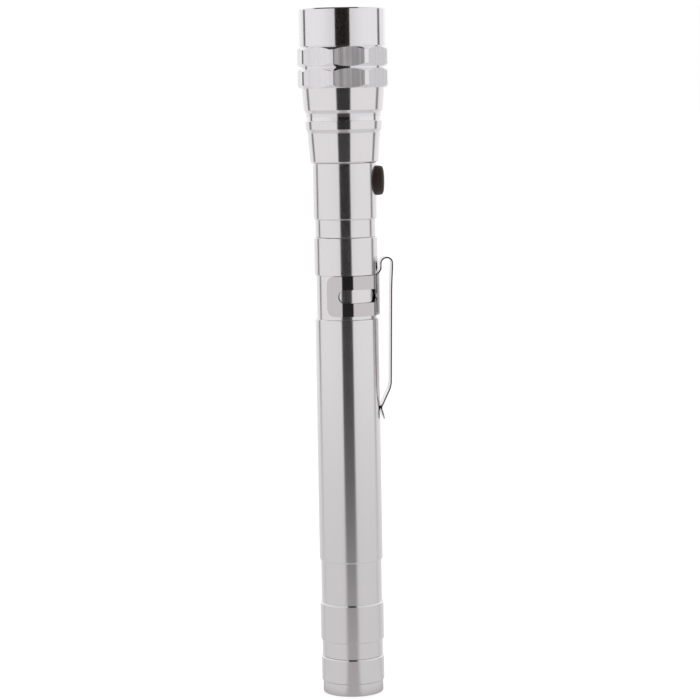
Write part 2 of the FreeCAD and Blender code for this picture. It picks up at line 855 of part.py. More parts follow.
def build_clip_arm():
    """The springy arm, down from the bend, in at the knee to the tube and out at the tip."""
    arm = new_body("clip_arm")
    inner = [
        ("bend_centre + bend_inside", "bend_height"),
        ("arm_knee", "arm_knee_height"),
        ("arm_touch", "arm_touch_height"),
        ("arm_tip", "arm_tip_height"),
    ]
    outer = [(across + " + clip_sheet", up) for across, up in reversed(inner)]
    profile = outline_sketch(arm, "arm_profile", inner + outer)
    pad = arm.newObject("PartDesign::Pad", "arm_strip")
    pad.Profile = profile
    pad.setExpression("Length", bound("clip_width"))
    pad.Midplane = True
    round_edges(arm, "arm_bends", strip_folds, "arm_round")
    place_clip(arm)


def strip_folds(edge):
    """Chooses the edges across the arm at its knee and at its touching point."""
    box = edge.BoundBox
    heights = (value("arm_knee_height"), value("arm_touch_height"))
    across = abs(box.YLength - value("clip_width")) < 1e-3
    return across and min(abs(box.ZMin - height) for height in heights) < 1e-3


def check_everything():
    """Stop unless every object worked out and every piece is a valid solid."""
    for item in doc.Objects:
        if "Invalid" in item.State or "Error" in item.State:
            raise RuntimeError(f"{item.Name} failed: {item.State}")
    for piece in pieces():
        if piece.Shape.isNull() or not piece.Shape.isValid() or not piece.Shape.Solids:
            raise RuntimeError(piece.Label + " is not a valid solid")


def pieces():
    """Every physical piece of the tool."""
    return [item for item in doc.Objects if item.isDerivedFrom("PartDesign::Body")
            or item.isDerivedFrom("Part::Torus")]


def write_parts():
    """Write each piece as its own STEP file."""
    os.makedirs("parts", exist_ok=True)
    for piece in pieces():
        piece.Shape.exportStep(f"parts/{piece.Label}.step")


fill_sheet()
build_tail()
build_handle()
for rod_number in range(1, ROD_COUNT + 1):
    build_rod(rod_number)
build_neck()
build_barrel()
build_switch()
build_batteries()
build_head_shell()
build_lamp()
build_clip_band()
build_clip_bend()
build_clip_arm()
doc.recompute()
check_everything()
write_parts()
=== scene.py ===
import json
import math

import bmesh
import bpy
import numpy as np
from mathutils import Matrix, Vector


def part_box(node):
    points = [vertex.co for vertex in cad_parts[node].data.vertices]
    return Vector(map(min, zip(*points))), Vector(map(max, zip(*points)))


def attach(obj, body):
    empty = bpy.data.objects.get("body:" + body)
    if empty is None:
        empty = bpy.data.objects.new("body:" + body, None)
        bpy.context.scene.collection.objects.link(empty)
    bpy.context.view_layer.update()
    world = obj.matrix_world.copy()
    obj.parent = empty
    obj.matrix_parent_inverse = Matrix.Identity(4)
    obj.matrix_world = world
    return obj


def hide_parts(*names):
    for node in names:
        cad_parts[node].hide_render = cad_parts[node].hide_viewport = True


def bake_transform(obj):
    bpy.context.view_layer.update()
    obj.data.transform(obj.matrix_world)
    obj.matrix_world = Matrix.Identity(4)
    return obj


# The looks of the magnetic pickup tool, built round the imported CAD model.
# Sections and flat patterns are in millimetres; MM turns them into Blender's metres.
# The studio, the camera and the materials are in metres.

MM = 0.001
COLUMNS = 192  # round a turned piece
FINE = 9.0  # degrees for each step round an edge
NO_ROOM = 1e-9  # metres between points that count as one
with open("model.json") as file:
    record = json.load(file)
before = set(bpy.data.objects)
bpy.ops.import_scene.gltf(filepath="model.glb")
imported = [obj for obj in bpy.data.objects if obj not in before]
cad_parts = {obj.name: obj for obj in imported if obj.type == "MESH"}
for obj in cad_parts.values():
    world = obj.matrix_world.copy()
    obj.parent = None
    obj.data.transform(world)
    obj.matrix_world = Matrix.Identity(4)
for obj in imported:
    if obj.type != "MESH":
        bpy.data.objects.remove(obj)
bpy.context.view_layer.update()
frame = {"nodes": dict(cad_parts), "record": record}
scene = bpy.context.scene
SLOT_OF = {part["node"]: part["material_slot"] for part in frame["record"]["subparts"]}
MATERIALS = {}


def low(node):
    """Height of a CAD node's underside, in millimetres."""
    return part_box(node)[0].z / MM


def top(node):
    """Height of a CAD node's top, in millimetres."""
    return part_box(node)[1].z / MM


def reach(node):
    """Largest distance of a turned CAD node from the tool's axis, in millimetres."""
    return max(math.hypot(v.co.x, v.co.y) for v in frame["nodes"][node].data.vertices) / MM


# ---------------------------------------------------------------- node arithmetic

class Value:
    """A number inside a node tree, so that node arithmetic reads as plain sums."""

    def __init__(self, tree, socket):
        self.tree = tree
        self.socket = socket

    def plug(self, slot, item):
        if isinstance(item, Value):
            self.tree.links.new(item.socket, slot)
        else:
            slot.default_value = item

    def maths(self, operation, *others):
        node = self.tree.nodes.new("ShaderNodeMath")
        node.operation = operation
        for slot, item in zip(node.inputs, (self, *others)):
            self.plug(slot, item)
        return Value(self.tree, node.outputs[0])

    def __add__(self, other):
        return self.maths("ADD", other)

    def __sub__(self, other):
        return self.maths("SUBTRACT", other)

    def __mul__(self, other):
        return self.maths("MULTIPLY", other)

    def power(self, other):
        return self.maths("POWER", other)

    def size(self):
        return self.maths("ABSOLUTE")

    def flip(self):
        """One minus the value."""
        return self * -1.0 + 1.0

    def rise(self, start, end, first=0.0, last=1.0):
        """Goes smoothly from first to last as the value goes from start to end."""
        node = self.tree.nodes.new("ShaderNodeMapRange")
        node.interpolation_type = "SMOOTHSTEP"
        settings = {"Value": self, "From Min": start, "From Max": end, "To Min": first, "To Max": last}
        for name, item in settings.items():
            self.plug(node.inputs[name], item)
        return Value(self.tree, node.outputs["Result"])

    def band(self, middle, half, soft):
        """One inside a band round middle, falling to nothing over the soft edges."""
        away = (self - middle).size()
        return away.rise(half - soft, half + soft, 1.0, 0.0)


def constant(tree, number):
    """A plain number as a Value."""
    node = tree.nodes.new("ShaderNodeValue")
    node.outputs[0].default_value = number
    return Value(tree, node.outputs[0])


def mixed(a, b, share):
    """a where share is 0, b where it is 1."""
    return a * share.flip() + b * share


def coordinates(tree, kind):
    """The three parts of a texture coordinate."""
    source = tree.nodes.new("ShaderNodeTexCoord").outputs[kind]
    parts = tree.nodes.new("ShaderNodeSeparateXYZ")
    tree.links.new(source, parts.inputs[0])
    return [Value(tree, parts.outputs[i]) for i in range(3)]


def vector(tree, x, y, z):
    """Three values as one vector."""
    node = tree.nodes.new("ShaderNodeCombineXYZ")
    for slot, item in zip(node.inputs, (x, y, z)):
        x.plug(slot, item)
    return node.outputs[0]


def noise(tree, place, scale, detail=3.0):
    """Noise from 0 to 1 at a place."""
    node = tree.nodes.new("ShaderNodeTexNoise")
    tree.links.new(place, node.inputs["Vector"])
    node.inputs["Scale"].default_value = scale
    node.inputs["Detail"].default_value = detail
    node.inputs["Roughness"].default_value = 0.55
    return Value(tree, node.outputs["Fac"])


def tinted(tree, value, dark, light):
    """A colour between dark and light, by a value from 0 to 1."""
    node = tree.nodes.new("ShaderNodeMix")
    node.data_type = "RGBA"
    tree.links.new(value.socket, node.inputs["Factor"])
    node.inputs["A"].default_value = (*dark, 1.0)
    node.inputs["B"].default_value = (*light, 1.0)
    return node.outputs["Result"]


def bumped(tree, height, depth):
    """A normal for a relief of so many metres."""
    node = tree.nodes.new("ShaderNodeBump")
    node.inputs["Distance"].default_value = depth
    tree.links.new(height.socket, node.inputs["Height"])
    return node.outputs["Normal"]


# ---------------------------------------------------------------- studio

# Directions round the tool: 0 is towards the camera, and the button's side is positive.
SEAMS = (math.radians(-119.5), math.radians(113.5))
PANELS_END = math.radians(117)
STAGE_HALF = 12.0
TABLE_HEIGHT = -0.0004
TABLE_GAP = math.radians(20.0)
CAMERA_PITCH = math.radians(5.8995)
CAMERA_ROLL = math.radians(1.008)
CAMERA_PLACE = (0.0006, -0.6234, 0.1504)
CAMERA_LENS = 129.96


def seams_between(turn, half, soft):
    """One in the dark seams between the side panels and the white behind the tool."""
    left, right = (turn.band(seam, math.radians(half), math.radians(soft)) for seam in SEAMS)
    return left + right


def build_world():
    """White for the camera; for reflections, two big light panels with a gap in front and above."""
    world = bpy.data.worlds.new("studio")
    scene.world = world
    world.use_nodes = True
    tree = world.node_tree
    tree.nodes.clear()
    x, y, z = coordinates(tree, "Generated")
    # The gap narrows high up in front, and reaches further left and back high up behind.
    narrow = z.rise(0.75, 0.97) * y.rise(-0.12, -0.02, 0.16, 0.0)
    spread = z.rise(0.6, 0.82) * y.rise(0.06, 0.14)
    left = (x - narrow + spread * 0.30).rise(-0.345, -0.30)
    right = (x + narrow).rise(0.325, 0.365, 1.0, 0.0)
    gap = left * right * (y - spread * 0.3).rise(0.05, 0.30, 1.0, 0.0)
    panels = x.size().rise(0.3, 0.95, 0.70, 0.84)
    dark = z * z * 0.03 + 0.010
    # The seams fade upwards, and the gap is brownish near the horizon.
    turn = x.maths("ARCTAN2", y * -1.0)
    seams = seams_between(turn, 5.0, 1.2) * z.rise(0.25, 0.6, 0.82, 0.0)
    behind = turn.size().rise(PANELS_END, math.radians(160))
    light = mixed(panels, constant(tree, 1.0), behind)
    light = mixed(light * seams.flip(), dark, gap)
    tint = tinted(tree, gap * z.rise(0.3, 1.0, 1.0, 0.4), (1.0, 0.99, 1.0), (1.0, 0.70, 0.61))
    lit = tree.nodes.new("ShaderNodeBackground")
    tree.links.new(tint, lit.inputs["Color"])
    light.plug(lit.inputs["Strength"], light)
    seen = tree.nodes.new("ShaderNodeBackground")
    seen.inputs["Color"].default_value = (1, 1, 1, 1)
    choice = tree.nodes.new("ShaderNodeMixShader")
    path = tree.nodes.new("ShaderNodeLightPath")
    tree.links.new(path.outputs["Is Camera Ray"], choice.inputs["Fac"])
    tree.links.new(lit.outputs[0], choice.inputs[1])
    tree.links.new(seen.outputs[0], choice.inputs[2])
    output = tree.nodes.new("ShaderNodeOutputWorld")
    tree.links.new(choice.outputs[0], output.inputs["Surface"])
    world.cycles.sampling_method = "NONE"


def stage_plane(name, height, material):
    """A big level square that isn't part of the object."""
    mesh = bpy.data.meshes.new(name)
    corners = [(x * STAGE_HALF, y * STAGE_HALF, height) for x, y in ((-1, -1), (1, -1), (1, 1), (-1, 1))]
    mesh.from_pydata(corners, [], [(0, 1, 2, 3)])
    plane = bpy.data.objects.new(name, mesh)
    scene.collection.objects.link(plane)
    mesh.materials.append(material)
    material.cycles.emission_sampling = "NONE"
    return plane


def new_material(name):
    """An empty node material and its tree."""
    material = bpy.data.materials.new(name)
    material.use_nodes = True
    material.node_tree.nodes.clear()
    return material, material.node_tree


def finish_material(tree, shader):
    """Send a shader to the material's output."""
    output = tree.nodes.new("ShaderNodeOutputMaterial")
    tree.links.new(shader, output.inputs["Surface"])


def build_floor():
    """The pale floor that the camera sees; it glows, so that the tool's shadow on it stays faint."""
    material, tree = new_material("pale_floor")
    x, y, z = coordinates(tree, "Object")
    grain = noise(tree, vector(tree, x, y, z), 900.0)
    paper = tree.nodes.new("ShaderNodeBsdfDiffuse")
    tree.links.new(tinted(tree, grain, (0.84, 0.84, 0.84), (0.88, 0.88, 0.88)), paper.inputs["Color"])
    glow = tree.nodes.new("ShaderNodeEmission")
    glow.inputs["Strength"].default_value = 0.60
    both = tree.nodes.new("ShaderNodeAddShader")
    tree.links.new(paper.outputs[0], both.inputs[0])
    tree.links.new(glow.outputs[0], both.inputs[1])
    finish_material(tree, both.outputs[0])
    floor = stage_plane("floor", 0.0, material)
    floor.visible_glossy = False


def build_table():
    """The table as the metal reflects it: lit from both sides, with the dark gap towards the camera."""
    material, tree = new_material("lit_table")
    x, y, z = coordinates(tree, "Object")
    distance = (x * x + y * y).power(0.5)
    turn = x.maths("ARCTAN2", y * -1.0)
    # The gap's edges are softer near the tool's foot.
    soft = distance.rise(0.02, 0.6, math.radians(8.5), math.radians(2.5))
    off = (turn - math.radians(0.7)).size()
    gap = off.rise(soft * -1.0 + TABLE_GAP, soft + TABLE_GAP, 1.0, 0.0)
    # The gap is lightest at the foot, and the sides are darkest where the tool keeps light off them.
    front = ((distance * 4.535).power(1.91) + 1.0).power(-1.0) * 0.405 + 0.008
    sides = distance.rise(0.05, 0.9, 0.635, 0.79) - distance.rise(0.006, 0.019, 0.21, 0.0)
    sides = sides + turn.size().rise(PANELS_END, math.radians(165), 0.0, 0.12)
    seams = seams_between(turn, 6.0, 3.0) * distance.rise(0.1, 1.2, 0.10, 0.70)
    light = mixed(sides * seams.flip(), front, gap)
    glow = tree.nodes.new("ShaderNodeEmission")
    tree.links.new(tinted(tree, gap, (1.0, 0.972, 0.978), (1.0, 0.95, 0.95)), glow.inputs["Color"])
    light.plug(glow.inputs["Strength"], light)
    finish_material(tree, glow.outputs[0])
    table = stage_plane("lit_table", TABLE_HEIGHT, material)
    table.visible_camera = False
    table.visible_diffuse = False
    table.visible_shadow = False


def build_camera():
    """A long lens a little above the middle of the tool, tipped down and very slightly rolled."""
    data = bpy.data.cameras.new("camera")
    data.lens = CAMERA_LENS
    data.sensor_width = 36.0
    data.clip_start, data.clip_end = 0.01, 100.0
    camera = bpy.data.objects.new("camera", data)
    scene.collection.objects.link(camera)
    tip = Matrix.Rotation(math.pi / 2 - CAMERA_PITCH, 4, "X")
    roll = Matrix.Rotation(-CAMERA_ROLL, 4, "Z")
    camera.matrix_world = Matrix.Translation(CAMERA_PLACE) @ tip @ roll
    scene.camera = camera
    scene.view_settings.view_transform = "Standard"


# ---------------------------------------------------------------- materials

def principled(tree, **settings):
    """A Principled shader; settings are numbers, colours, values or sockets."""
    node = tree.nodes.new("ShaderNodeBsdfPrincipled")
    for name, item in settings.items():
        slot = node.inputs[name.replace("_", " ")]
        if isinstance(item, Value):
            tree.links.new(item.socket, slot)
        elif isinstance(item, bpy.types.NodeSocket):
            tree.links.new(item, slot)
        else:
            slot.default_value = (*item, 1.0) if isinstance(item, tuple) else item
    return node.outputs[0]


def metal(name, dark, light, rough, haze=0.0, haze_rough=0.3, wave=0.4e-6, uneven=0.0, grain=0.0):
    """Bare or plated metal: lengthwise streaks, slight waviness, hairline marks and a soft haze.

    haze is the share of a second, duller reflection. uneven varies that share in upright stripes,
    grain stretches the reflection across the stripes, and wave is the depth of the waviness.
    """
    material, tree = new_material(name)
    x, y, z = coordinates(tree, "Object")
    lengthwise = noise(tree, vector(tree, x, y, z * 0.012), 2600.0, 2.0)
    patches = noise(tree, vector(tree, x, y, z), 160.0, 3.0)
    rings = noise(tree, vector(tree, x * 0.02, y * 0.02, z), 5200.0, 2.0)
    marks = noise(tree, vector(tree, x, y, z * 0.2), 4200.0, 1.0).rise(0.70, 0.78)
    colour = tinted(tree, mixed(lengthwise, patches, constant(tree, 0.4)), dark, light)
    roughness = patches * (0.35 * rough) + lengthwise * (0.3 * rough) + 0.68 * rough
    roughness = roughness + marks * 0.05
    normal = bumped(tree, patches + lengthwise * 0.12 + rings * 0.05, wave)
    shader = principled(tree, Base_Color=colour, Metallic=1.0, Roughness=roughness, Normal=normal)
    if haze:
        tangent = tree.nodes.new("ShaderNodeTangent")
        tangent.direction_type = "RADIAL"
        tangent.axis = "Z"
        cloud = principled(tree, Base_Color=colour, Metallic=1.0, Roughness=haze_rough, Normal=normal,
                           Anisotropic=grain, Tangent=tangent.outputs[0])
        mix = tree.nodes.new("ShaderNodeMixShader")
        ribs = noise(tree, vector(tree, x, y, z * 0.004), 1150.0, 2.0)
        share = patches * (0.3 * haze) + 0.85 * haze + (ribs - 0.5) * uneven
        share.plug(mix.inputs["Fac"], share)
        tree.links.new(shader, mix.inputs[1])
        tree.links.new(cloud, mix.inputs[2])
        shader = mix.outputs[0]
    finish_material(tree, shader)
    MATERIALS[name] = material


def soft_plastic(name, dark, light, rough, grain, depth, shine=0.5):
    """Rubber or moulded plastic with a fine pebbled skin and faint blotches of dust."""
    material, tree = new_material(name)
    x, y, z = coordinates(tree, "Object")
    place = vector(tree, x, y, z)
    pebble = noise(tree, place, grain, 2.0)
    blotch = noise(tree, place, 350.0, 4.0)
    colour = tinted(tree, blotch.rise(0.3, 0.75), dark, light)
    finish_material(tree, principled(
        tree, Base_Color=colour, Roughness=blotch * 0.12 + rough, Specular_IOR_Level=shine,
        Normal=bumped(tree, pebble + blotch * 0.4, depth)))
    MATERIALS[name] = material


def clear_resin(name):
    """Clear LED epoxy with a slightly wavy skin."""
    material, tree = new_material(name)
    x, y, z = coordinates(tree, "Object")
    wavy = noise(tree, vector(tree, x, y, z), 500.0, 2.0)
    finish_material(tree, principled(
        tree, Base_Color=tinted(tree, wavy, (0.93, 0.95, 0.97), (0.97, 0.98, 1.0)),
        Roughness=wavy * 0.04 + 0.02, Transmission_Weight=0.92, IOR=1.5, Normal=bumped(tree, wavy, 1e-6)))
    MATERIALS[name] = material


def circuit(name):
    """Green solder mask with copper tracks showing faintly through."""
    material, tree = new_material(name)
    x, y, z = coordinates(tree, "Object")
    tracks = ((x * 2400.0).maths("SINE") * (y * 2100.0).maths("SINE")).rise(0.05, 0.12)
    fine = noise(tree, vector(tree, x, y, z), 1500.0)
    finish_material(tree, principled(
        tree, Base_Color=tinted(tree, tracks, (0.008, 0.10, 0.035), (0.02, 0.2, 0.07)),
        Roughness=fine * 0.15 + 0.3, Normal=bumped(tree, tracks + fine * 0.1, 12e-6)))
    MATERIALS[name] = material


def glowing_chip(name):
    """The yellow phosphor of a white LED."""
    material, tree = new_material(name)
    x, y, z = coordinates(tree, "Object")
    fleck = noise(tree, vector(tree, x, y, z), 3000.0)
    finish_material(tree, principled(
        tree, Base_Color=tinted(tree, fleck, (0.82, 0.62, 0.10), (0.95, 0.80, 0.24)), Roughness=0.6,
        Normal=bumped(tree, fleck, 10e-6)))
    MATERIALS[name] = material


def build_materials():
    """Every material slot of the record, and the few finishes that only the looks have."""
    metal("polished_aluminium", (0.87, 0.865, 0.875), (0.915, 0.91, 0.915), 0.12,
          haze=0.10, haze_rough=0.42)
    metal("bright_aluminium", (0.88, 0.87, 0.88), (0.92, 0.915, 0.925), 0.09, haze=0.05, haze_rough=0.38)
    metal("milled_flats", (0.93, 0.915, 0.935), (0.97, 0.955, 0.975), 0.13,
          haze=0.78, haze_rough=0.36, uneven=1.5, grain=0.9)
    metal("clip_steel", (0.66, 0.645, 0.65), (0.71, 0.70, 0.705), 0.05, wave=0.3e-6)
    metal("plated_steel", (0.76, 0.76, 0.78), (0.82, 0.82, 0.84), 0.10, haze=0.06)
    metal("gooseneck_steel", (0.58, 0.58, 0.60), (0.68, 0.68, 0.70), 0.22)
    metal("brass", (0.66, 0.45, 0.17), (0.80, 0.58, 0.26), 0.26, wave=1.2e-6)
    metal("nickel_magnet", (0.66, 0.64, 0.60), (0.74, 0.72, 0.68), 0.16, haze=0.12)
    metal("spring_steel", (0.52, 0.52, 0.53), (0.64, 0.64, 0.65), 0.24)
    metal("cell_steel", (0.66, 0.66, 0.65), (0.76, 0.76, 0.75), 0.28, wave=1.0e-6)
    metal("face_plate", (0.70, 0.70, 0.71), (0.80, 0.80, 0.81), 0.12, haze=0.15)
    soft_plastic("black_rubber", (0.020, 0.0095, 0.0075), (0.030, 0.016, 0.013), 0.42,
                 grain=5200.0, depth=6e-6, shine=0.42)
    soft_plastic("black_plastic", (0.012, 0.012, 0.012), (0.024, 0.024, 0.025), 0.32,
                 grain=7000.0, depth=3e-6)
    clear_resin("led_epoxy")
    circuit("circuit_board")
    glowing_chip("led_phosphor")


# ---------------------------------------------------------------- turned shapes

def eased(before, here, after, rounding, most, fine):
    """Points and outward normals of one corner of a flat line, with the metal on the left hand.

    The rounding takes up at most a share of each run; a corner without room stays sharp, with a
    normal for each of its sides.
    """
    come, go = here - before, after - here
    first, second = come.normalized(), go.normalized()
    turn = math.atan2(first.x * second.y - first.y * second.x, first.dot(second))
    out = Vector((first.y, -first.x))
    half = math.tan(abs(turn) / 2)
    run = min(rounding * half, most * come.length, most * go.length)
    if run < 1e-4:
        return [(here, out), (here, Vector((second.y, -second.x)))]
    side = math.copysign(run / half, turn)
    centre = here - first * run - out * side
    steps = max(2, math.ceil(math.degrees(abs(turn)) / fine))
    normals = [Matrix.Rotation(turn * k / steps, 2) @ out for k in range(steps + 1)]
    return [(centre + normal * side, normal) for normal in normals]


def rounded(corners, fine=FINE):
    """A closed section with rounded corners, as rows of radius, height and the normal's two parts.

    corners are (radius, height, rounding), taken with the metal on the left hand.
    """
    section = []
    for i, (radius, height, rounding) in enumerate(corners):
        before, after = Vector(corners[i - 1][:2]), Vector(corners[(i + 1) % len(corners)][:2])
        for spot, normal in eased(before, Vector((radius, height)), after, rounding, 0.49, fine):
            section.append((*spot, *normal))
    return section


def smooth_piece(name, spots, faces, normals):
    """A smooth-shaded object from points in metres, faces, and a normal for each point."""
    mesh = bpy.data.meshes.new(name)
    mesh.from_pydata(spots, [], faces)
    mesh.polygons.foreach_set("use_smooth", [True] * len(mesh.polygons))
    mesh.normals_split_custom_set_from_vertices(normals)
    piece = bpy.data.objects.new(name, mesh)
    scene.collection.objects.link(piece)
    return piece


def add_face(faces, corners, spots):
    """Add a face without the corners that fall on one another, if it still has an area."""
    face = []
    for corner in corners:
        if all(max(abs(a - b) for a, b in zip(spots[corner], spots[other])) > NO_ROOM for other in face):
            face.append(corner)
    if len(face) > 2:
        faces.append(face)


def grid_cells(columns, rows):
    """The column, row and four corners of every cell of a grid that is closed both ways."""
    for i in range(columns):
        k = (i + 1) % columns
        for j in range(rows):
            m = (j + 1) % rows
            yield i, j, (i * rows + j, k * rows + j, k * rows + m, i * rows + m)


def skin(name, spots, normals):
    """A smooth mesh from a grid: columns go round the tool, rows go along its section."""
    flat = spots.reshape(-1, 3).tolist()
    faces = []
    for _, _, corners in grid_cells(*spots.shape[:2]):
        add_face(faces, corners, flat)
    return smooth_piece(name, flat, faces, normals.reshape(-1, 3).tolist())


def section_grid(corners, columns=COLUMNS, fine=FINE):
    """The grid of points, in metres, and of normals of a section turned about Z."""
    section = np.array(rounded(corners, fine))
    turn = np.arange(columns) * 2 * math.pi / columns
    across, along = np.cos(turn)[:, None], np.sin(turn)[:, None]
    level = np.ones_like(across)
    spots, normals = (
        np.stack([across * section[:, i], along * section[:, i], level * section[:, i + 1]], axis=2)
        for i in (0, 2))
    return spots * MM, normals


def turned(name, corners, columns=COLUMNS, fine=FINE):
    """A piece turned about the tool's axis."""
    return skin(name, *section_grid(corners, columns, fine))


def dress(piece, body, slot, *nodes, finish=None):
    """Give a piece its finish and its body, and hide the CAD nodes that it stands for."""
    if not piece.data.materials:
        piece.data.materials.append(MATERIALS[finish or slot])
    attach(piece, body)
    if nodes:
        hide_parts(*nodes)


def joined(name, pieces):
    """Several meshes as one piece, each keeping its own normals."""
    bpy.ops.object.select_all(action="DESELECT")
    for piece in pieces:
        piece.select_set(True)
    bpy.context.view_layer.objects.active = pieces[0]
    bpy.ops.object.join()
    pieces[0].name = name
    pieces[0].data.name = name
    return pieces[0]


# ---------------------------------------------------------------- head

NUT_TURN = math.radians(8.8)
NUT_RADIUS = 11.29
NUT_FLAT = 10.62
NUT_EASE = 0.04
NUT_SECTOR = math.pi / 4
RING_BORE = 10.0
RING_RIM = 0.03


def nut_side(turn):
    """Radius of an octagonal grip ring's side at an angle, with its edges slightly eased."""
    off = (turn - NUT_TURN + NUT_SECTOR / 2) % NUT_SECTOR - NUT_SECTOR / 2
    flat = NUT_FLAT / math.cos(off)
    near = max(NUT_EASE - abs(flat - NUT_RADIUS), 0) / NUT_EASE
    return min(flat, NUT_RADIUS) - near * near * NUT_EASE / 4


def nut_angles():
    """Angles round a grip ring, close together at its edges."""
    edge = math.degrees(math.acos(NUT_FLAT / NUT_RADIUS))
    offsets = [*range(-18, 19, 3), 22.5]
    for ease in (-1.0, -0.56, -0.28, 0, 0.28, 0.56, 1.0):
        offsets += [-edge - ease, edge + ease]
    sides = [math.degrees(NUT_SECTOR) * side + offset for side in range(8) for offset in offsets]
    return sorted(NUT_TURN + math.radians(angle) for angle in sides)


def grip_ring(name, bottom, upper):
    """One octagonal ring: flats cut on a turned ring whose rims are chamfered."""
    angles = nut_angles()
    spots, normals = [], []
    rim_radius, nudge = NUT_FLAT - RING_RIM, 1e-4
    for turn in angles:
        side = nut_side(turn)
        slope = (nut_side(turn + nudge) - nut_side(turn - nudge)) / (2 * nudge)
        rim = side - rim_radius
        section = rounded([
            (RING_BORE, bottom, 0), (rim_radius, bottom, 0.03), (side, bottom + rim, 0.05),
            (side, upper - rim, 0.05), (rim_radius, upper, 0.03), (RING_BORE, upper, 0),
        ], 30.0)
        out = Vector((math.cos(turn), math.sin(turn), 0))
        along = Vector((-math.sin(turn), math.cos(turn), 0))
        for radius, height, across, up in section:
            on_side = bottom + rim * 0.3 < height < upper - rim * 0.3
            lean = -slope / side * max(across, 0) if on_side else 0
            spots.append((out * radius + Vector((0, 0, height))) * MM)
            normals.append((out * across + along * lean * abs(across) + Vector((0, 0, up))).normalized())
    shape = (len(angles), -1, 3)
    ring = skin(name, np.array(spots).reshape(shape), np.array(normals).reshape(shape))
    ring.data.materials.append(MATERIALS["bright_aluminium"])
    ring.data.materials.append(MATERIALS["milled_flats"])
    for face in ring.data.polygons:
        across = math.hypot(face.center.x, face.center.y) / MM
        milled = abs(face.normal.z) < 0.1 and across < NUT_RADIUS - 0.007
        face.material_index = 1 if milled else 0
    return ring


def build_head():
    """Bezel, grip rings and the stepped cone below them."""
    base, high = low("front_bezel"), top("front_bezel")
    thread, seat = 9.95, 163.6
    bezel = turned("front_bezel_looks", [
        (thread, base + 0.22, 0.02), (10.63, base + 0.22, 0.06), (10.63, high - 0.3, 0.08),
        (10.33, high, 0.06), (9.12, high, 0.16), (9.0, high - 0.25, 0.1), (9.0, high - 2.0, 0.05),
        (9.5, high - 2.0, 0.0), (9.5, seat, 0.0), (thread, seat, 0.0),
    ], fine=10.0)
    dress(bezel, "lamp", "polished_aluminium", "front_bezel", finish="bright_aluminium")
    foot = low("head_shell") - 0.08
    core = turned("head_core", [
        (7.55, foot, 0.12), (8.39, foot, 0.45), (8.93, 139.35, 0.0), (8.96, 139.8, 1.4),
        (9.36, 140.62, 0.06), (9.46, 142.62, 0.10), (9.13, 142.72, 0.05), (9.11, 143.7, 1.2),
        (9.20, 144.6, 0.8), (9.60, 145.15, 0.08), (9.70, 145.3, 0.08), (10.13, 150.9, 0.03),
        (10.3, 150.9, 0.02), (10.3, 160.5, 0.0), (thread, 160.5, 0.0), (thread, seat, 0.0),
        (9.5, seat, 0.0), (9.5, 158.4, 0.0), (6.35, 158.4, 0.0), (6.35, 139.0, 0.0), (7.55, 139.0, 0.0),
    ])
    core.data.materials.append(MATERIALS["bright_aluminium"])
    lower = grip_ring("ring_lower", 150.66, 155.42)
    upper = grip_ring("ring_upper", 155.86, base - 0.01)
    shell = joined("head_shell_looks", [core, lower, upper])
    dress(shell, "lamp", "polished_aluminium", "head_shell")


# ---------------------------------------------------------------- barrel and button

BARREL_BORE = 6.25
THREAD_START = 134.0
HOLE_RADIUS = 3.73
HOLE_COLUMNS = 20  # of the wall, on each side of the hole, that are cut away round it
HOLE_EDGE = 0.1


def button_height():
    """Height of the button's middle."""
    return (low("switch_plunger") + top("switch_plunger")) / 2


def build_barrel():
    """Barrel with the button's hole in its wall, an O-ring groove and a cut thread above."""
    base, radius = low("barrel"), reach("barrel")
    wall_top = top("neck_plug") + 12.2
    spigot, groove, groove_low, groove_high = 7.25, 6.7, 132.75, 133.55
    corners = [
        (BARREL_BORE, base, 0), (radius, base, 0.24), (radius, wall_top, 0.24), (spigot, wall_top, 0.05),
        (spigot, groove_low, 0), (groove, groove_low, 0.1), (groove, groove_high, 0.1),
        (spigot, groove_high, 0.1), (spigot, THREAD_START, 0), (BARREL_BORE, THREAD_START, 0),
    ]
    body = open_wall("barrel_wall", corners, radius, button_height())
    thread = threaded("barrel_thread", BARREL_BORE, THREAD_START, top("barrel"), 7.5, 0.42, 1.0)
    dress(joined("barrel_looks", [body, thread]), "barrel", "polished_aluminium", "barrel")


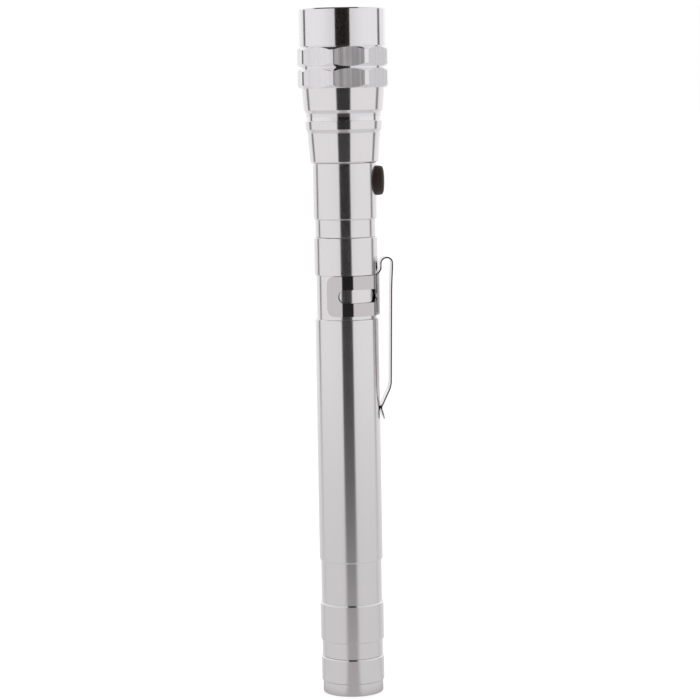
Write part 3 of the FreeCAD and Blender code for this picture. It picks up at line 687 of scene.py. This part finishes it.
def open_wall(name, corners, radius, middle):
    """The turned barrel, with a round hole cut through its plain wall where the button is."""
    grid, grid_normals = section_grid(corners)
    columns, rows = grid.shape[:2]
    spots, normals = grid.reshape(-1, 3).tolist(), grid_normals.reshape(-1, 3).tolist()
    # The plain wall is the row of cells that starts on the outside and goes up by more than 5 mm.
    wall = next(j for j in range(rows - 1) if abs(spots[j][0] / MM - radius) < 1e-5
                and spots[j + 1][2] - spots[j][2] > 5 * MM)
    faces = []

    def add(spot, normal):
        spots.append([part * MM for part in spot])
        normals.append(list(normal))
        return len(spots) - 1

    def on_wall(turn, height):
        x, y = math.cos(turn), math.sin(turn)
        return add((radius * x, radius * y, height), (x, y, 0.0))

    # A patch of the wall is left out round the hole; its border is the points along its four sides.
    step, sides = 2 * math.pi / columns, 8
    edge, patch_low, patch_high = HOLE_COLUMNS * step, middle - 4.3, middle + 4.05
    across = range(-HOLE_COLUMNS, HOLE_COLUMNS + 1)
    lower = {i: on_wall(i * step, patch_low) for i in across}
    upper = {i: on_wall(i * step, patch_high) for i in across}
    for i, j, cell in grid_cells(columns, rows):
        a, b, c, d = cell
        near = i if i < columns / 2 else i - columns  # 0 at the button
        if j == wall and -HOLE_COLUMNS <= near < HOLE_COLUMNS:
            faces.append([a, b, lower[near + 1], lower[near]])
            faces.append([upper[near], upper[near + 1], c, d])
        elif j == wall and near == -HOLE_COLUMNS - 1:
            faces.append([a, b, lower[-HOLE_COLUMNS], upper[-HOLE_COLUMNS], c, d])
        elif j == wall and near == HOLE_COLUMNS:
            faces.append([a, b, c, d, upper[HOLE_COLUMNS], lower[HOLE_COLUMNS]])
        else:
            add_face(faces, cell, spots)
    rise = [patch_low + (patch_high - patch_low) * k / sides for k in range(1, sides)]
    border = [lower[i] for i in across]
    border += [on_wall(edge, height) for height in rise]
    border += [upper[i] for i in reversed(across)]
    border += [on_wall(-edge, height) for height in reversed(rise)]

    # Rings lead from the border to the hole's edge along the wall, then over the edge and inwards.
    rays = []
    for spot in border:
        x, y, z = (part / MM for part in spots[spot])
        turn = math.atan2(y, x)
        rays.append((turn, z, math.atan2(z - middle, radius * turn)))
    rings = [border]
    rim = HOLE_RADIUS + HOLE_EDGE
    for share in (0.45, 0.8, 1.0):
        ring = []
        for turn, height, angle in rays:
            edge_turn = math.asin(rim * math.cos(angle) / radius)
            edge_height = middle + rim * math.sin(angle)
            ring.append(on_wall(turn + (edge_turn - turn) * share, height + (edge_height - height) * share))
        rings.append(ring)
    eased_edge = (HOLE_RADIUS + 0.03, 0.03, math.radians(40))
    straight, bottom = (HOLE_RADIUS, HOLE_EDGE, math.pi / 2), (HOLE_RADIUS, None, math.pi / 2)
    for hole, sunk, lean in (eased_edge, straight, bottom):
        ring = []
        for _, _, angle in rays:
            y, z = hole * math.cos(angle), hole * math.sin(angle)
            if sunk is None:
                x = math.sqrt(BARREL_BORE ** 2 - y * y)
            else:
                x = math.sqrt(radius ** 2 - y * y) - sunk
            inwards = -math.sin(lean)
            facing = (math.cos(lean), math.cos(angle) * inwards, math.sin(angle) * inwards)
            ring.append(add((x, y, middle + z), facing))
        rings.append(ring)
    for outer, inner in zip(rings, rings[1:]):
        for i in range(len(outer)):
            k = (i + 1) % len(outer)
            faces.append([outer[i], outer[k], inner[k], inner[i]])
    return smooth_piece(name, spots, faces, normals)


def helical(name, inside, bottom, high, shape, pitch, columns, per_turn, fade):
    """A tube whose outside is shape(phase, ends) along a helix; ends falls to 0 at the tube's ends."""
    count = max(4, int((high - bottom) / pitch * per_turn))
    heights = np.linspace(bottom, high, count + 1)
    spots = np.zeros((columns, count + 3, 3))
    normals = np.zeros_like(spots)
    upwards = np.array([0, 0, 1.0])
    for i in range(columns):
        turn = 2 * math.pi * i / columns
        phase = heights / pitch - turn / (2 * math.pi)
        ends = np.clip(np.minimum(heights - bottom, high - heights) / fade, 0, 1)
        radius = shape(phase, ends)
        rise = np.gradient(radius, heights)
        drift = rise * pitch / (2 * math.pi) / radius
        out = np.array([math.cos(turn), math.sin(turn), 0])
        along = np.array([-math.sin(turn), math.cos(turn), 0])
        spots[i, 1:-1] = out * radius[:, None] + upwards * heights[:, None]
        facing = out + along * drift[:, None] - upwards * rise[:, None]
        normals[i, 1:-1] = facing / np.linalg.norm(facing, axis=1)[:, None]
        spots[i, 0] = out * inside + upwards * bottom
        spots[i, -1] = out * inside + upwards * high
        normals[i, 0], normals[i, -1] = -out, -out
    return skin(name, spots * MM, normals)


def threaded(name, inside, bottom, high, radius, depth, pitch):
    """A cut screw thread with flat crests and roots."""
    def shape(phase, ends):
        saw = np.abs((phase % 1.0) * 2 - 1)
        cut = np.clip((saw - 0.18) / 0.68, 0, 1)
        return radius - depth * np.clip(cut + (1 - ends), 0, 1)
    return helical(name, inside, bottom, high, shape, pitch, 96, 14, 0.5)


def build_neck():
    """The gooseneck's wound coils, and the plug that closes the barrel over it."""
    base, high, radius = low("gooseneck"), top("gooseneck"), reach("gooseneck")

    def coils(phase, ends):
        bulge = np.sqrt(np.abs(np.sin(phase * math.pi)))
        return radius + 0.42 * (bulge - 1) - 0.05 * (1 - ends)
    neck = helical("gooseneck_looks", 1.85, base, high, coils, 1.15, 64, 10, 0.4)
    dress(neck, "neck", "gooseneck_steel", "gooseneck")
    bottom, ledge = top("handle_collar") + 0.03, low("barrel")
    plug = turned("neck_plug_looks", [
        (3.06, bottom, 0.12), (7.42, bottom, 0.22), (7.42, ledge - 0.1, 0.03), (7.1, ledge - 0.1, 0),
        (7.1, ledge, 0), (BARREL_BORE, ledge, 0), (BARREL_BORE, 120.2, 0), (4.1, 120.2, 0),
        (4.1, 118.5, 0), (3.06, 118.5, 0),
    ])
    dress(plug, "barrel", "polished_aluminium", "neck_plug")


def build_button():
    """The rubber button: a crowned cap with a rim inside the wall and a groove for its spring."""
    inner, face = (corner.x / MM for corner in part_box("button_cap"))
    grid, normals = section_grid([
        (0.0, inner, 0), (2.05, inner, 0), (2.05, inner + 1.3, 0), (2.75, inner + 1.3, 0), (2.75, inner, 0),
        (4.1, inner, 0.1), (4.1, inner + 1.0, 0.1), (3.64, inner + 1.0, 0.1),
        (3.66, 8.2, 2.0), (3.52, 9.36, 0.75), (2.5, 9.66, 2.0), (1.2, 9.78, 2.0), (0.0, face, 0.0),
    ], 96, 8.0)
    sideways, middle = (2, 0, 1), np.array([0, 0, button_height() * MM])
    cap = skin("button_cap_looks", grid[..., sideways] + middle, normals[..., sideways])
    dress(cap, "button", "black_rubber", "button_cap")


# ---------------------------------------------------------------- handle and tail

def build_handle():
    """Collar, tube, tail sleeve and tail cap."""
    collar_low, collar_top = low("handle_collar"), top("handle_collar")
    tube_low, tube_top = low("handle_tube"), top("handle_tube")
    cap_top = low("tail_sleeve")
    bore, spigot, stub, stub_top = 6.4, 6.9, 5.6, 14.0
    collar = turned("handle_collar_looks", [
        (bore, collar_low, 0), (spigot, collar_low, 0), (spigot, 94.0, 0), (7.39, 94.0, 0.05),
        (7.39, 104.85, 0.05), (7.82, 104.85, 0.14), (7.82, collar_top, 0.24), (5.45, collar_top, 0.3),
        (5.45, 109.1, 0), (bore, 109.1, 0),
    ])
    dress(collar, "handle", "polished_aluminium", "handle_collar")
    tube = turned("handle_tube_looks", [
        (bore, tube_low, 0), (7.52, tube_low, 0.06), (7.52, 33.55, 0.2), (7.85, 33.74, 0.4),
        (7.85, tube_top, 0.24), (spigot, tube_top, 0.05), (spigot, collar_low, 0), (bore, collar_low, 0),
    ])
    dress(tube, "handle", "polished_aluminium", "handle_tube")
    sleeve = turned("tail_sleeve_looks", [
        (stub, cap_top, 0), (7.54, cap_top, 0.24), (7.54, 13.36, 0.15), (7.88, 13.5, 0.4),
        (7.88, tube_low - 0.36, 0.08), (7.56, tube_low, 0.06), (bore, tube_low, 0), (bore, 26.4, 0),
        (0.0, 26.4, 0), (0.0, stub_top, 0), (stub, stub_top, 0),
    ])
    dress(sleeve, "handle", "polished_aluminium", "tail_sleeve")
    cap = turned("tail_cap_looks", [
        (4.02, 0.0, 0.12), (7.51, 0.0, 0.42), (7.51, 3.08, 0.15), (7.81, 3.2, 0.36),
        (7.81, cap_top - 0.28, 0.08), (7.56, cap_top, 0.06), (stub, cap_top, 0), (stub, stub_top, 0),
        (0.0, stub_top, 0), (0.0, 4.0, 0), (4.02, 4.0, 0),
    ])
    dress(cap, "handle", "polished_aluminium", "tail_cap")


def build_rods():
    """The telescopic rods with rolled-in ends."""
    names = [f"rod_{number}" for number in (1, 2, 3, 4)]
    for name, inner in zip(names, names[1:] + ["gooseneck"]):
        base, high, outside, bore = low(name), top(name), reach(name), reach(inner) + 0.05
        rod = turned(name + "_looks", [
            (outside - 0.7, base, 0.1), (outside, base, 0.2), (outside, high, 0.3), (bore, high, 0.12),
            (bore, high - 2.5, 0.1), (outside - 0.3, high - 2.75, 0), (outside - 0.3, base + 0.7, 0),
            (outside - 0.7, base + 0.7, 0),
        ], 128, 12.0)
        dress(rod, name, "plated_steel", name)


# ---------------------------------------------------------------- pocket clip

CLIP_TURN = math.radians(5.5)
CLIP_OFFSET = 0.25
CLIP_HALF = 2.5
CLIP_TOP = 104.8
SHEET = 0.36
SHEET_EASE = 0.09
BAND_RADIUS = 7.845
BAND_END = math.radians(134.5) * BAND_RADIUS
WINDOW = (math.radians(30.5) * BAND_RADIUS, math.radians(112.0) * BAND_RADIUS)
TAB_LENGTH = 2.2
TAB_CURL = 1.9
ARC_STEPS = 6


def corner_arc(x, y, radius, start):
    """Points along a quarter of a circle round (x, y), anticlockwise from start degrees."""
    angles = [math.radians(start + 90 * k / ARC_STEPS) for k in range(ARC_STEPS + 1)]
    return [(x + radius * math.cos(a), y + radius * math.sin(a)) for a in angles]


def window(left, right, bottom, high, radius):
    """The outline of a long hole with rounded ends."""
    return (corner_arc(right - radius, bottom + radius, radius, -90)
            + corner_arc(right - radius, high - radius, radius, 0)
            + corner_arc(left + radius, high - radius, radius, 90)
            + corner_arc(left + radius, bottom + radius, radius, 180))


def steps_between(start, end, step):
    """Evenly spaced places inside a span."""
    count = max(1, round((end - start) / step))
    return [start + (end - start) * k / count for k in range(1, count)]


def flat_sheet(outline, holes, across, along):
    """A flat cut sheet with eased edges, divided at places across and along it so that it can bend."""
    sheet = bmesh.new()
    for loop in [outline] + holes:
        points = [sheet.verts.new((s, z, 0)) for s, z in loop]
        for i in range(len(points)):
            sheet.edges.new((points[i - 1], points[i]))
    bmesh.ops.triangle_fill(sheet, use_beauty=True, edges=sheet.edges[:])
    for normal, places in (((1, 0, 0), across), ((0, 1, 0), along)):
        for place in places:
            everything = sheet.verts[:] + sheet.edges[:] + sheet.faces[:]
            bmesh.ops.bisect_plane(
                sheet, geom=everything, dist=1e-5, plane_co=Vector(normal) * place, plane_no=normal)

    def on_cut(edge):
        a, b = edge.verts[0].co, edge.verts[1].co
        return any(abs(a[i] - place) < 1e-4 and abs(b[i] - place) < 1e-4
                   for i, places in enumerate((across, along)) for place in places)
    stray = [edge for edge in sheet.edges if len(edge.link_faces) == 2 and not on_cut(edge)]
    bmesh.ops.dissolve_edges(sheet, edges=stray, use_verts=False)
    bmesh.ops.recalc_face_normals(sheet, faces=sheet.faces[:])
    if sheet.faces[0].normal.z < 0:
        bmesh.ops.reverse_faces(sheet, faces=sheet.faces[:])
    upper = {}
    for vert in sheet.verts[:]:
        upper[vert] = sheet.verts.new(vert.co + Vector((0, 0, SHEET / 2)))
        vert.co.z = -SHEET / 2
    rims = [(loop.vert, loop.link_loop_next.vert)
            for edge in sheet.edges if len(edge.link_faces) == 1 for loop in edge.link_loops]
    for face in sheet.faces[:]:
        sheet.faces.new([upper[vert] for vert in face.verts])
        face.normal_flip()
    for a, b in rims:
        sheet.faces.new((a, b, upper[b], upper[a]))
    sheet.normal_update()
    hard = [edge for edge in sheet.edges if len(edge.link_faces) == 2 and edge.calc_face_angle() > 1.2
            and abs(edge.verts[0].co.z - edge.verts[1].co.z) < 1e-6]
    bmesh.ops.bevel(sheet, geom=hard, offset=SHEET_EASE, segments=3, profile=0.5, affect="EDGES",
                    clamp_overlap=True)
    sheet.normal_update()
    return sheet


def bent(name, sheet, place):
    """The flat sheet bent by place(s, z, t), which gives the point in millimetres."""
    spots, normals = [], []
    nudges = [Vector((0, 0, 0))] + [Vector(part) * 1e-3 for part in ((1, 0, 0), (0, 1, 0), (0, 0, 1))]
    sheet.verts.index_update()
    for vert in sheet.verts:
        flat = [face for face in vert.link_faces if abs(face.normal.z) > 0.999]
        facing = Vector((0, 0, math.copysign(1, flat[0].normal.z))) if flat else vert.normal
        here, *there = [Vector(place(*(vert.co + nudge))) for nudge in nudges]
        s, z, t = (near - here for near in there)
        bent_normal = z.cross(t) * facing.x + t.cross(s) * facing.y + s.cross(z) * facing.z
        normals.append(bent_normal.normalized())
        spots.append(here * MM)
    faces = [[vert.index for vert in face.verts] for face in sheet.faces]
    sheet.free()
    return smooth_piece(name, spots, faces, normals)


def smooth_path(corners):
    """A path with rounded corners, given as (x, z, rounding): its length and a function of length.

    The function gives the point and the direction at a length along the path.
    """
    flat = [Vector(corner[:2]) for corner in corners]
    points = flat[:1]
    for i in range(1, len(corners) - 1):
        points += [spot for spot, _ in eased(*flat[i - 1:i + 2], corners[i][2], 0.499, 4.0)]
    points.append(flat[-1])
    lengths = [0.0]
    for a, b in zip(points, points[1:]):
        lengths.append(lengths[-1] + (b - a).length)

    def at(length):
        i = min(max(int(np.searchsorted(lengths, length, side="right")) - 1, 0), len(points) - 2)
        run = points[i + 1] - points[i]
        share = (length - lengths[i]) / max(run.length, 1e-9)
        before = (points[i] - points[i - 1]) if i > 0 else run
        after = (points[i + 2] - points[i + 1]) if i + 2 < len(points) else run
        start = (before.normalized() + run.normalized()).normalized()
        end = (after.normalized() + run.normalized()).normalized()
        return points[i] + run * share, (start * (1 - share) + end * share).normalized()
    return lengths[-1], at


def clip_place(across, out, height):
    """A point beside the clip's middle plane, turned to the clip's side of the tool."""
    return (out * math.cos(CLIP_TURN) - across * math.sin(CLIP_TURN),
            out * math.sin(CLIP_TURN) + across * math.cos(CLIP_TURN), height)


def build_clip():
    """The pocket clip, pressed from one sheet: band, tab, spring bend and arm."""
    length, path = smooth_path([
        (BAND_RADIUS + CLIP_OFFSET, CLIP_TOP, 0), (BAND_RADIUS + CLIP_OFFSET, CLIP_TOP + 0.3, 0.8),
        (8.42, 105.9, 1.5), (8.42, 108.87, 1.42), (11.27, 108.87, 1.42), (11.25, 106.3, 3.0),
        (10.97, 101.5, 8.0), (10.5, 77.0, 6.0), (7.92, 71.6, 1.5), (8.8, 68.65, 0),
    ])

    def strip(s, along, t):
        """The tab, bend and arm: round like the band at first, and flat beyond TAB_CURL."""
        spot, ahead = path(along)
        curl = 1.0 - min(max(along / TAB_CURL, 0.0), 1.0)
        curl = curl * curl * (3 - 2 * curl)
        angle = s / BAND_RADIUS
        across = s * (1 - curl) + (BAND_RADIUS + t) * math.sin(angle) * curl
        back = (BAND_RADIUS + t) * (1 - math.cos(angle)) * curl
        here = spot + Vector((ahead.y, -ahead.x)) * t - Vector((back, 0))
        return clip_place(across, here.x, here.y)

    def band(s, z, t):
        if z > CLIP_TOP:
            return strip(s, z - CLIP_TOP, t)
        angle, radius = s / BAND_RADIUS, BAND_RADIUS + t
        return clip_place(radius * math.sin(angle), radius * math.cos(angle) + CLIP_OFFSET, z)

    base = low("clip_band")
    corner, foot = 2.0, 0.9
    outline = corner_arc(BAND_END - corner, base + corner, corner, -90)
    outline += corner_arc(BAND_END - corner, CLIP_TOP - corner, corner, 0)
    outline += reversed(corner_arc(CLIP_HALF + foot, CLIP_TOP + foot, foot, 180))
    outline += [(CLIP_HALF, CLIP_TOP + TAB_LENGTH), (-CLIP_HALF, CLIP_TOP + TAB_LENGTH)]
    outline += reversed(corner_arc(-CLIP_HALF - foot, CLIP_TOP + foot, foot, -90))
    outline += corner_arc(-BAND_END + corner, CLIP_TOP - corner, corner, 90)
    outline += corner_arc(-BAND_END + corner, base + corner, corner, 180)
    near, far = WINDOW
    windows = [window(*ends, base + 3.25, base + 6.55, 1.6) for ends in ((near, far), (-far, -near))]
    sheet = flat_sheet(outline, windows, steps_between(-BAND_END, BAND_END, 0.4),
                       [CLIP_TOP + 0.02 + TAB_LENGTH * k / 8 for k in range(8)])
    dress(bent("clip_band_looks", sheet, band), "handle", "clip_steel", "clip_band")

    tip, bend_end, tip_start = 1.3, TAB_LENGTH + 7.5, length - 14
    arm = [(-CLIP_HALF, TAB_LENGTH), (CLIP_HALF, TAB_LENGTH)]
    arm += corner_arc(CLIP_HALF - tip, length - tip, tip, 0)
    arm += corner_arc(-CLIP_HALF + tip, length - tip, tip, 90)
    cuts = steps_between(TAB_LENGTH, bend_end, 0.14) + [bend_end]
    cuts += steps_between(bend_end, tip_start, 2.0) + [tip_start] + steps_between(tip_start, length, 0.2)
    spring = bent("clip_spring_looks", flat_sheet(arm, [], [-1.25, 0.0, 1.25], cuts), strip)
    spring.data.materials.append(MATERIALS["clip_steel"])
    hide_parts("clip_bend", "clip_arm")
    start, finish = (Vector(clip_place(0, *place)) * MM for place in ((8.6, 107.5), (11.1, 107.1)))
    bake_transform(spring)


# ---------------------------------------------------------------- lamp face

def build_led(name):
    """A clear LED with its reflector cup and chip, built on the tool's axis and moved to its place."""
    lowest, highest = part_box(name)
    base, high = lowest.z / MM, highest.z / MM
    centre = (lowest + highest) / 2
    shift = Matrix.Translation((centre.x, centre.y, 0))

    def part(suffix, corners, columns, fine, slot, *nodes, finish=None):
        piece = turned(name + suffix, corners, columns, fine)
        piece.data.transform(shift)
        dress(piece, "lamp", slot, *nodes, finish=finish)

    part("_looks", [
        (0.0, base, 0), (2.9, base, 0.1), (2.9, base + 1.0, 0.15), (2.5, base + 1.0, 0.1),
        (2.5, high, 2.42), (0.0, high, 0),
    ], 64, 6.0, "led_epoxy", name)
    part("_cup", [
        (0.0, base + 3.2, 0), (0.9, base + 3.2, 0.1), (1.0, base + 4.2, 0.05), (0.75, base + 4.2, 0.05),
        (0.45, base + 3.75, 0.05), (0.0, base + 3.75, 0),
    ], 48, 15.0, "spring_steel")
    part("_chip", [
        (0.0, base + 3.75, 0), (0.42, base + 3.78, 0.05), (0.62, base + 4.1, 0.1), (0.0, base + 4.22, 0),
    ], 32, 15.0, "led_epoxy", finish="led_phosphor")


def build_magnets():
    """Nickel-plated disc magnets with rolled edges, in the lamp face and in the tail."""
    for name, body in (("pickup_magnet", "lamp"), ("tail_magnet", "handle")):
        base, high = low(name), top(name)
        disc = turned(name + "_looks", [
            (0.0, base, 0), (4.0, base, 0.3), (4.0, high, 0.34), (3.1, high - 0.005, 1.0),
            (0.0, high - 0.02, 0),
        ], 128)
        dress(disc, body, "nickel_magnet", name)


def paint_cad():
    """Put the detailed materials on every CAD node."""
    for name, node in frame["nodes"].items():
        node.data.materials.clear()
        node.data.materials.append(MATERIALS[SLOT_OF[name]])


build_camera()
build_world()
build_floor()
build_table()
build_materials()
paint_cad()
build_head()
build_barrel()
build_neck()
build_button()
build_handle()
build_rods()
build_clip()
for led in ("led_1", "led_2", "led_3"):
    build_led(led)
build_magnets()
